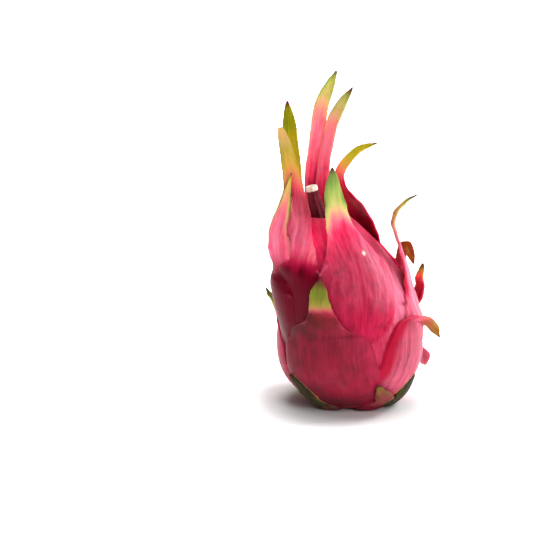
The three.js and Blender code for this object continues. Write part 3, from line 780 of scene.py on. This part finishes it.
def makeSkin():
    points, layers, faces = gather()
    print("skin parts:", len(points), "points")
    mesh = fusedMesh(points, faces)
    values = readLayers(mesh, points, layers, faces)
    ends = edgeEnds(mesh)
    blended = averaged(values, ends, 1)
    grain = slice(layerNames.index("grainAcross"), layerNames.index("grainSeed") + 1)
    blended[:, grain] = values[:, grain]
    values = mix(values, blended, skinFinish["evenedOut"])

    places = coordinates(mesh)
    melted = averaged(places, ends, skinFinish["meltSteps"])
    places = mix(places, melted, values[:, layerNames.index("melt"), None])
    heights, scarred = foldHeights(mesh, places)
    reliefFrom, reliefTo = skinFinish["relief"]
    offGround = smoothArray(places[:, 2], reliefFrom * mm, reliefTo * mm)
    heights = (heights + swellings(places) * mm) * offGround
    places = places + normals(mesh) * heights[:, None]
    mesh.vertices.foreach_set("co", places.ravel())
    mesh.update()

    around = averaged(places, ends, skinFinish["curveSteps"])
    hollow = ((around - places) * normals(mesh)).sum(axis=1) / (skinFinish["curveScale"] * mm)
    hollow = averaged(np.clip(hollow, -1, 1)[:, None], ends, 1)[:, 0]
    addLayer(mesh, "hollow", hollow)
    addLayer(mesh, "scarred", scarred)
    for k, name in enumerate(colourNames):
        addLayer(mesh, name, values[:, k])
    grainLayer = mesh.attributes.new("grain", "FLOAT_VECTOR", "POINT")
    grainLayer.data.foreach_set("vector", values[:, grain].ravel())
    mesh.shade_smooth()
    mesh.name = "fruit_skin"
    return newObject("fruit_skin", mesh)


def smoothArray(values, low, high):
    t = np.clip((values - low) / (high - low), 0, 1)
    return t * t * (3 - 2 * t)


def addLayer(mesh, name, values):
    layer = mesh.attributes.new(name, "FLOAT", "POINT")
    layer.data.foreach_set("value", np.ascontiguousarray(values, dtype=np.float32))


# Nodes
mixFactor, mixA, mixB, mixResult = 0, 6, 7, 2  # the colour sockets of a Mix node


def linear(hexCode):  # sRGB hex to linear light
    channels = [int(hexCode[i:i + 2], 16) / 255 for i in (1, 3, 5)]
    return tuple(c / 12.92 if c <= 0.04045 else ((c + 0.055) / 1.055) ** 2.4 for c in channels) + (1.0,)


def addNode(tree, kind, settings=None, links=None):
    node = tree.nodes.new(kind)
    for key, value in (settings or {}).items():
        if key == "stops":
            ramp = node.color_ramp
            while len(ramp.elements) < len(value):
                ramp.elements.new(1)
            for element, (place, colour) in zip(ramp.elements, value):
                element.position = place
                element.color = linear(colour) if isinstance(colour, str) else (colour, colour, colour, 1)
        elif isinstance(key, int) or key in node.inputs:
            node.inputs[key].default_value = value
        else:
            setattr(node, key, value)
    for key, source in (links or {}).items():
        tree.links.new(source, node.inputs[key])
    return node


def newMaterial(name, shaderSettings):
    material = bpy.data.materials.new(name)
    material.use_nodes = True
    tree = material.node_tree
    tree.nodes.clear()
    shader = addNode(tree, "ShaderNodeBsdfPrincipled", shaderSettings)
    addNode(tree, "ShaderNodeOutputMaterial", links={"Surface": shader.outputs[0]})
    return material, tree, shader


def layer(tree, name, output="Fac"):
    return addNode(tree, "ShaderNodeAttribute", {"attribute_name": name}).outputs[output]


def mathNode(tree, operation, a, b, clamp=False):
    node = addNode(tree, "ShaderNodeMath", {"operation": operation, "use_clamp": clamp})
    for socket, value in zip(node.inputs, (a, b)):
        if isinstance(value, (int, float)):
            socket.default_value = value
        else:
            tree.links.new(value, socket)
    return node.outputs[0]


def blendColours(tree, factor, a, b):
    node = addNode(tree, "ShaderNodeMix", {"data_type": "RGBA", "clamp_factor": True})
    for index, value in ((mixFactor, factor), (mixA, a), (mixB, b)):
        if isinstance(value, str):
            node.inputs[index].default_value = linear(value)
        elif isinstance(value, (int, float)):
            node.inputs[index].default_value = value
        else:
            tree.links.new(value, node.inputs[index])
    return node.outputs[mixResult]


# Waxy peel of a ripe dragon fruit: fleshy, grown, unpolished. It gives a soft broad sheen over mottled
# crimson
peel = {
    "stages": [(0, "#a30332"), (0.1, "#c6083f"), (0.2, "#ee2156"), (0.3, "#fa5a70"), (0.4, "#f17f68"),
               (0.5, "#dc9f4c"), (0.6, "#c8ae2e"), (0.7, "#a8a70c"), (0.8, "#7f9300"), (0.9, "#6a5426"),
               (1, "#43181f")],
    "paleStages": [(0, "#a30332"), (0.1, "#c6083f"), (0.2, "#f2335f"), (0.3, "#fb6f82"), (0.4, "#f3917f"),
                   (0.5, "#d9b080"), (0.6, "#c0bd70"), (0.7, "#9fb25f"), (0.8, "#7f9c4c"), (0.9, "#66743f"),
                   (1, "#4a2a26")],
    # deep crimson, also laid on as painted shade
    "deep": "#620019",
    # painted shade in creases
    "grooveShade": "#5e0320",
    "innerRed": "#b00029",
    # wax bloom and a painted sheen
    "waxSheenPink": "#f4a5bf",
    "streakPink": "#e63a70",
    # painted highlight on raised margins and ridges
    "rimHighlight": "#ee6488",
    "rust": "#85340f",
    "straw": "#cca872",
    "withered": "#2c241a",
    "scar": "#f3dfc6",
    "fibreWidth": 0.9,  # millimetres
    "fibreLength": 10,
    "streakWidth": 3.2,
    "streakLength": 20,
    "mottleSize": 7,
    "blotchSize": 30,
    "poreSize": 0.8,
}


def spread(tree, value, low, high, least, most):  # from one range to another, held at its ends
    return addNode(tree, "ShaderNodeMapRange", {1: low, 2: high, 3: least, 4: most}, {0: value}).outputs[0]


def ramp(tree, stops, factor):
    return addNode(tree, "ShaderNodeValToRGB", {"stops": stops}, {"Fac": factor}).outputs[0]


def ownPlace(tree):
    return addNode(tree, "ShaderNodeTexCoord").outputs["Object"]


def bump(tree, height, strength, distance, below=None):
    links = {"Height": height}
    if below is not None:
        links["Normal"] = below
    return addNode(tree, "ShaderNodeBump", {"Strength": strength, "Distance": distance}, links).outputs[0]


def grainNoise(tree, grain, width, length, detail):
    space = addNode(tree, "ShaderNodeMapping", {"Scale": (1 / width, 1 / length, 1)}, {"Vector": grain})
    settings = {"Scale": 1, "Detail": detail, "Roughness": 0.55, "Distortion": 0.3}
    return addNode(tree, "ShaderNodeTexNoise", settings, {"Vector": space.outputs[0]}).outputs["Fac"]


def placeNoise(tree, place, size, detail):
    return addNode(tree, "ShaderNodeTexNoise", {"Scale": 1000 / size, "Detail": detail, "Roughness": 0.55},
                   {"Vector": place}).outputs["Fac"]


def times(tree, *values):
    product = values[0]
    for value in values[1:]:
        product = mathNode(tree, "MULTIPLY", product, value)
    return product


def peelMaterial():
    material, tree, shader = newMaterial("waxy_fruit_peel", {
        "Roughness": 0.42, "IOR": 1.4, "Specular IOR Level": 0.08, "Subsurface Weight": 0.12,
        "Subsurface Radius": (1.0, 0.3, 0.2), "Subsurface Scale": 0.003,
        "Coat Weight": 0.01, "Coat Roughness": 0.3, "Coat IOR": 1.4})
    tree.links.new(spread(tree, layer(tree, "thin"), 0, 1, 0.1, 0.4), shader.inputs["Subsurface Weight"])
    grain = layer(tree, "grain", "Vector")
    place = ownPlace(tree)
    fibre = grainNoise(tree, grain, peel["fibreWidth"], peel["fibreLength"], 3)
    streak = grainNoise(tree, grain, peel["streakWidth"], peel["streakLength"], 3)
    mottle = placeNoise(tree, place, peel["mottleSize"], 5)
    blotch = placeNoise(tree, place, peel["blotchSize"], 2)
    pores = placeNoise(tree, place, peel["poreSize"], 2)

    # Colours from the scale's stage, feathered along its fibres
    feather = times(tree, mathNode(tree, "SUBTRACT", fibre, 0.5), 0.14)
    wander = times(tree, mathNode(tree, "SUBTRACT", streak, 0.5), 0.2)
    stage = mathNode(tree, "ADD", layer(tree, "stage"), mathNode(tree, "ADD", feather, wander), True)
    full = ramp(tree, peel["stages"], stage)
    pale = ramp(tree, peel["paleStages"], stage)
    colour = blendColours(tree, layer(tree, "pale"), full, pale)

    # Crimson deepens in patches, and with painted shade towards the shaded side; light fibres break it up
    red = spread(tree, stage, 0.42, 0.22, 0.0, 1.0)
    patches = spread(tree, mottle, 0.46, 0.7, 0.0, 0.35)
    deepenedAndShaded = times(tree, red, mathNode(tree, "ADD", times(tree, layer(tree, "deep"), 0.95), patches, True))
    fresh = times(tree, red, spread(tree, layer(tree, "deep"), 0.15, 0.7, 1.0, 0.12))
    lit = times(tree, spread(tree, fibre, 0.46, 0.76, 0.0, 0.2), spread(tree, mottle, 0.38, 0.6, 0.25, 1.0))
    lightened = mathNode(tree, "ADD", lit, spread(tree, blotch, 0.5, 0.72, 0.0, 0.3), True)

    # Wax bloom with a painted sheen laid in with it, thick on some pads and wiped into soft streaks
    waxSheenCoat = times(tree, layer(tree, "bloom"), spread(tree, streak, 0.3, 0.66, 0.3, 1.0),
                spread(tree, fibre, 0.3, 0.65, 0.7, 1.0), 0.8)

    # Creases get painted shade in deep red and raised margins a painted highlight in light pink. Scales turn
    # rusty, dry and wither
    hollow = layer(tree, "hollow")
    coats = [
        (deepenedAndShaded, "deep"),
        (times(tree, fresh, lightened), "streakPink"),
        (times(tree, layer(tree, "inner"), red, 0.6), "innerRed"),
        (waxSheenCoat, "waxSheenPink"),
        (times(tree, spread(tree, hollow, 0.2, 0.85, 0.0, 0.65), red), "grooveShade"),
        (times(tree, spread(tree, hollow, -0.4, -1.0, 0.0, 0.35), red), "rimHighlight"),
        (times(tree, layer(tree, "rust"), spread(tree, streak, 0.3, 0.65, 0.6, 1.0)), "rust"),
        (times(tree, layer(tree, "straw"), spread(tree, fibre, 0.3, 0.6, 0.6, 1.0)), "straw"),
        (times(tree, layer(tree, "gloom"), spread(tree, mottle, 0.25, 0.6, 0.7, 1.0)), "withered"),
        (layer(tree, "scarred"), "scar"),
    ]
    for share, name in coats:
        colour = blendColours(tree, share, colour, peel[name])

    rough = spread(tree, streak, 0.3, 0.7, 0.33, 0.46)
    dry = spread(tree, stage, 0.6, 1.0, 0.0, 0.25)
    tree.links.new(mathNode(tree, "ADD", rough, dry, True), shader.inputs["Roughness"])
    tree.links.new(colour, shader.inputs["Base Color"])

    fibred = bump(tree, fibre, 0.3, 0.00018)
    pored = bump(tree, pores, 0.45, 0.00014, fibred)
    tree.links.new(bump(tree, streak, 0.32, 0.0008, pored), shader.inputs["Normal"])
    return material


# Flower stub
stub = {
    "radius": 3.5,
    "offset": -1.5,
    "top": 128.5,
    "lean": 14,
    "seatGap": 0.3,
    "sides": 108,
    "ribs": 9,
    "ribDepth": 0.3,
    "ribsFrom": 2.4,
    "folds": 31,  # the fine pleats between the ribs
    "foldDepth": 0.14,
    "profile": [  # its radius by the share of its height; the top is up to 0.8 slimmer than the solid's
        (0.01, 0), (3, 0), (5.4, 0), (6.2, 0.04), (6.1, 0.12), (5.5, 0.25), (4.7, 0.38), (4, 0.5), (3.5, 0.6),
        (3.2, 0.72), (3.15, 0.84), (3.2, 0.95), (3.1, 0.985), (2.8, 1), (2.4, 1), (2, 0.99), (1.7, 0.975),
        (1.4, 0.965), (1, 0.955), (0.01, 0.95)],
    "sideColours": [(0.3, "#3a0714"), (0.5, "#6b0f24"), (0.66, "#8a1c34"), (0.8, "#a8484e")],
    "cutColours": [(0.25, "#efdcb8"), (0.5, "#fff2de"), (0.75, "#fffaf0")],
    "coreColour": "#a9805a",
}
stubBottom = body["beltHeight"] + body["riseAboveBelt"] - body["navelDepth"] + stub["seatGap"]
stubHeight = stub["top"] - stubBottom


def turnedBmesh(profile, sides):  # (radius, height) points spun about the upright axis, poles closed
    bm = bmesh.new()
    verts = [bm.verts.new((radius, 0, height)) for radius, height in profile]
    edges = [bm.edges.new(pair) for pair in zip(verts, verts[1:])]
    bmesh.ops.spin(bm, geom=verts + edges, cent=(0, 0, 0), axis=(0, 0, 1), angle=2 * pi, steps=sides,
                   use_merge=True)
    bmesh.ops.holes_fill(bm, edges=[edge for edge in bm.edges if edge.is_boundary], sides=0)
    bmesh.ops.recalc_face_normals(bm, faces=bm.faces[:])
    return bm


def placedObject(bm, name):  # from millimetres round the foot to metres in the shared frame
    shift = Matrix.Translation((body["footX"], body["footY"], 0))
    bmesh.ops.transform(bm, matrix=Matrix.Scale(mm, 4) @ shift, verts=bm.verts[:])
    mesh = bpy.data.meshes.new(name)
    bm.to_mesh(mesh)
    bm.free()
    mesh.shade_smooth()
    return newObject(name, mesh)


def makeStub():
    bm = turnedBmesh([(radius, share * stubHeight) for radius, share in stub["profile"]], stub["sides"])
    slope = tan(radians(stub["lean"]))
    heightLayer = bm.verts.layers.float.new("share")
    reachLayer = bm.verts.layers.float.new("reach")
    for vert in bm.verts:
        x, y, z = vert.co
        reach = hypot(x, y)
        angle = atan2(y, x)
        outside = smooth(reach, stub["ribsFrom"], stub["radius"])
        ribs = cos(stub["ribs"] * angle) * outside
        pleats = cos(stub["folds"] * angle + 2 * sin(z * 0.6)) * outside
        swell = 1 + (stub["ribDepth"] * ribs + stub["foldDepth"] * pleats) / stub["radius"]
        middle = leanAt(stubBottom) + stub["offset"] - slope * z
        vert[heightLayer] = z / stubHeight
        vert[reachLayer] = reach
        vert.co = (middle + x * swell, y * swell, stubBottom + z + x * slope * z / stubHeight)
    return placedObject(bm, "flower_stub_detail")


# Withered flower base: leathery and finely pleated, dark maroon outside, with a pale fibrous cut
def stubMaterial():
    material, tree, shader = newMaterial("withered_flower_base", {"Roughness": 0.7, "IOR": 1.45,
                                                                  "Specular IOR Level": 0.35})
    place = ownPlace(tree)
    tall = addNode(tree, "ShaderNodeMapping", {"Scale": (1100, 1100, 120)}, {"Vector": place})
    streak = addNode(tree, "ShaderNodeTexNoise", {"Scale": 1, "Detail": 5, "Roughness": 0.65},
                     {"Vector": tall.outputs[0]}).outputs["Fac"]
    fine = addNode(tree, "ShaderNodeTexNoise", {"Scale": 2600, "Detail": 3, "Roughness": 0.6},
                   {"Vector": place}).outputs["Fac"]
    side = ramp(tree, stub["sideColours"], streak)
    cut = ramp(tree, stub["cutColours"], fine)
    share = mathNode(tree, "ADD", layer(tree, "share"), times(tree, streak, 0.06))
    upper = spread(tree, share, 0.9, 0.915, 0.0, 1.0)
    colour = blendColours(tree, upper, side, cut)
    core = spread(tree, layer(tree, "reach"), 2.0, 1.2, 0.0, 0.55)
    colour = blendColours(tree, times(tree, core, upper), colour, stub["coreColour"])
    tree.links.new(colour, shader.inputs["Base Color"])
    tree.links.new(bump(tree, streak, 0.8, 0.0004), shader.inputs["Normal"])
    return material


# Stem scar: the woody plug under the foot
scar = {
    "radius": 5.9,
    "sides": 96,
    "profile": [(0.01, 0.9), (1.2, 0.75), (2.6, 0.62), (4.5, 0.5), (5.4, 1.0), (5.75, 1.25), (5.9, 1.5),
                (5.9, 2.7), (0.01, 2.7)],
    "rimWave": 0.18,
    "rimFrom": (3, 5),  # from the middle, where its waves start and are full
    "lobes": 7,
    "colours": [(0.2, "#4a3520"), (0.5, "#8c7045"), (0.8, "#b39a68")],
}


def makeScar():
    bm = turnedBmesh(scar["profile"], scar["sides"])
    for vert in bm.verts:
        x, y, z = vert.co
        angle = atan2(y, x)
        lobed = (1 + cos(scar["lobes"] * angle)) * smooth(hypot(x, y), *scar["rimFrom"])
        wave = 1 - scar["rimWave"] / scar["radius"] * lobed
        vert.co = (x * wave, y * wave, z)
    return placedObject(bm, "stem_scar_detail")


# Dry stem wood: broken off, matt, with ringed fibres
def woodMaterial():
    material, tree, shader = newMaterial("dry_stem_wood", {"Roughness": 0.85, "IOR": 1.5,
                                                           "Specular IOR Level": 0.3})
    place = ownPlace(tree)
    centred = addNode(tree, "ShaderNodeMapping", {
        "Location": (-body["footX"] * mm, -body["footY"] * mm, 0)}, {"Vector": place})
    rings = addNode(tree, "ShaderNodeTexWave", {
        "wave_type": "RINGS", "rings_direction": "Z", "Scale": 160, "Distortion": 5, "Detail": 3,
        "Detail Scale": 2.5}, {"Vector": centred.outputs[0]}).outputs["Fac"]
    fine = addNode(tree, "ShaderNodeTexNoise", {"Scale": 1500, "Detail": 4}, {"Vector": place}).outputs["Fac"]
    both = mathNode(tree, "ADD", times(tree, rings, 0.6), times(tree, fine, 0.4))
    tree.links.new(ramp(tree, scar["colours"], both), shader.inputs["Base Color"])
    tree.links.new(bump(tree, both, 0.7, 0.0004), shader.inputs["Normal"])
    return material


# Studio
studio = {
    "floorSize": 14.0,
    "floor": "#eeeeee",
    "glowStops": [(0.036, 0), (0.05, 0.25), (0.066, 0.8), (0.09, 1.05), (0.5, 1.2)],  # metres from the middle
    "skyDim": 0.1,  # light from the left
    "skyBright": 0.4,  # light from the right
    "lightAim": Vector((0, 0, 0.07)),
    "lights": [
        {"name": "rightKey", "at": (0.85, 0.3, 0.95), "size": 0.6, "power": 12},
        {"name": "frontFill", "at": (0.6, -1.1, 0.9), "size": 0.7, "power": 8},
        {"name": "topBack", "at": (0.05, 0.5, 1.35), "size": 0.9, "power": 13},
    ],
}


def makeStudio():
    bm = bmesh.new()
    bmesh.ops.create_grid(bm, x_segments=1, y_segments=1, size=studio["floorSize"] / 2)
    mesh = bpy.data.meshes.new("studio_floor")
    bm.to_mesh(mesh)
    bm.free()
    paper = newObject("studio_floor", mesh)
    material, tree, shader = newMaterial("matt_white_paper", {"Roughness": 0.9, "Specular IOR Level": 0.1})
    shader.inputs["Base Color"].default_value = linear(studio["floor"])
    shader.inputs["Emission Color"].default_value = linear(studio["floor"])
    place = ownPlace(tree)
    away = addNode(tree, "ShaderNodeVectorMath", {"operation": "LENGTH"}, {0: place}).outputs["Value"]
    glow = 0
    for (start, low), (end, high) in zip(studio["glowStops"], studio["glowStops"][1:]):
        glow = mathNode(tree, "ADD", spread(tree, away, start, end, 0.0, high - low), glow)
    glow = mathNode(tree, "ADD", glow, studio["glowStops"][0][1])
    tree.links.new(glow, shader.inputs["Emission Strength"])
    mesh.materials.append(material)

    for settings in studio["lights"]:
        data = bpy.data.lights.new(settings["name"], "AREA")
        data.size = settings["size"]
        data.energy = settings["power"]
        lamp = newObject(settings["name"], data)
        lamp.location = settings["at"]
        lamp.rotation_euler = (studio["lightAim"] - lamp.location).to_track_quat("-Z", "Y").to_euler()

    world = bpy.data.worlds.new("softbox_room")
    bpy.context.scene.world = world
    world.use_nodes = True
    tree = world.node_tree
    tree.nodes.clear()
    direction = addNode(tree, "ShaderNodeTexCoord").outputs["Generated"]
    sideways = addNode(tree, "ShaderNodeSeparateXYZ", links={0: direction}).outputs["X"]
    strength = addNode(tree, "ShaderNodeMapRange", {
        1: -1.0, 2: 1.0, 3: studio["skyDim"], 4: studio["skyBright"]}, {0: sideways}).outputs[0]
    background = addNode(tree, "ShaderNodeBackground", {"Color": (1, 1, 1, 1)}, {"Strength": strength})
    addNode(tree, "ShaderNodeOutputWorld", links={"Surface": background.outputs[0]})
    bpy.context.scene.view_settings.view_transform = "Standard"


addCamera()
makeStudio()
print("studio and camera are set")

skin = makeSkin()
skin.data.materials.append(peelMaterial())
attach(skin, "root")
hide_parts("fruit")
print("skin is grown")

flowerStub = makeStub()
flowerStub.data.materials.append(stubMaterial())
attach(flowerStub, "root")
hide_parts("flower_stub")

stemScar = makeScar()
stemScar.data.materials.append(woodMaterial())
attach(stemScar, "root")
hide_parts("stem_scar")
print("flower stub and stem scar are made")
